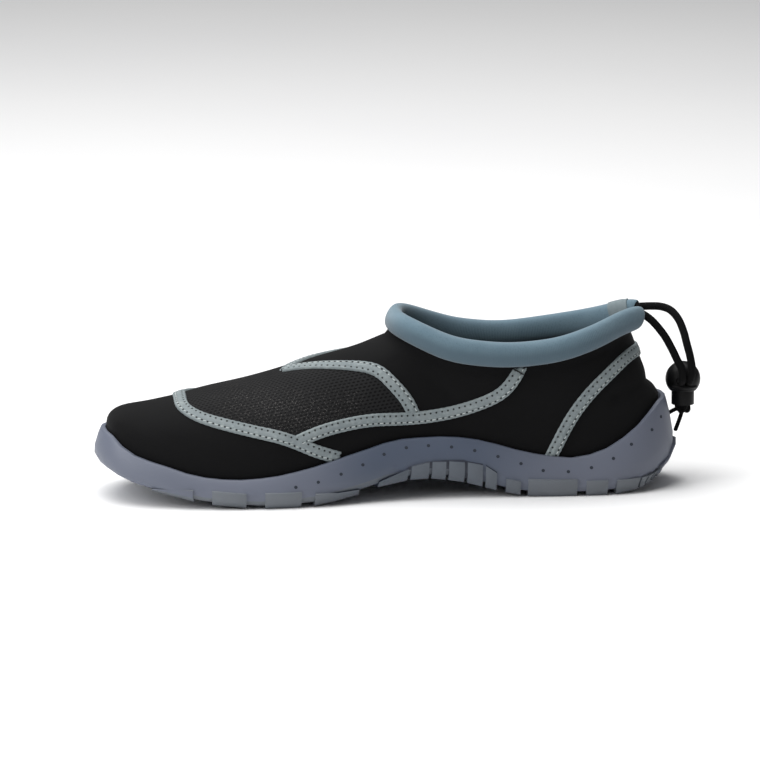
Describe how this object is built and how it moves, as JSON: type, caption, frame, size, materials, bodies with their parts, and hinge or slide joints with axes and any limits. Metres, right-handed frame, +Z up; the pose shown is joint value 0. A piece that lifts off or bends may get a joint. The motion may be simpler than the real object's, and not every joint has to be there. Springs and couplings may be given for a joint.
{
  "type": "water shoe",
  "caption": "Slip-on water shoe with a cup sole, a one-piece soft upper, a padded collar, taped seams and a heel drawcord with a ball lock.",
  "frame": {"origin": "bottom centre of the shoe without its free cord: middle of its length and width, on the plane it stands on", "axes": "+X from toe to heel, -Y towards the inner side of the foot, +Z up"},
  "size_m": [0.2947, 0.1019, 0.0893],
  "materials": {
    "sole rubber": "matte",
    "insole cloth": "matte",
    "black neoprene": "matte",
    "collar knit": "matte",
    "grey tape": "matte",
    "black plastic": "satin",
    "black cord": "matte"
  },
  "bodies": {
    "shoe": {"outsole": "sole rubber", "insole": "insole cloth", "upper": "black neoprene", "collar": "collar knit", "vamp_tape": "grey tape", "heel_tape": "grey tape", "side_tape_medial": "grey tape", "side_tape_lateral": "grey tape", "instep_tape_medial": "grey tape", "instep_tape_lateral": "grey tape", "heel_label": "grey tape", "lock_body": "black plastic", "cord_near": "black cord", "cord_far": "black cord", "cord_knot": "black cord", "cord_tail_near": "black cord", "cord_tail_far": "black cord"},
    "button": {"lock_button": "black plastic"}
  },
  "joints": [
    {"name": "button_press", "type": "slide", "parent": "shoe", "child": "button", "axis": [0, 0, 1], "range_m": [0, 0.002], "stiffness_N_per_m": 800}
  ]
}
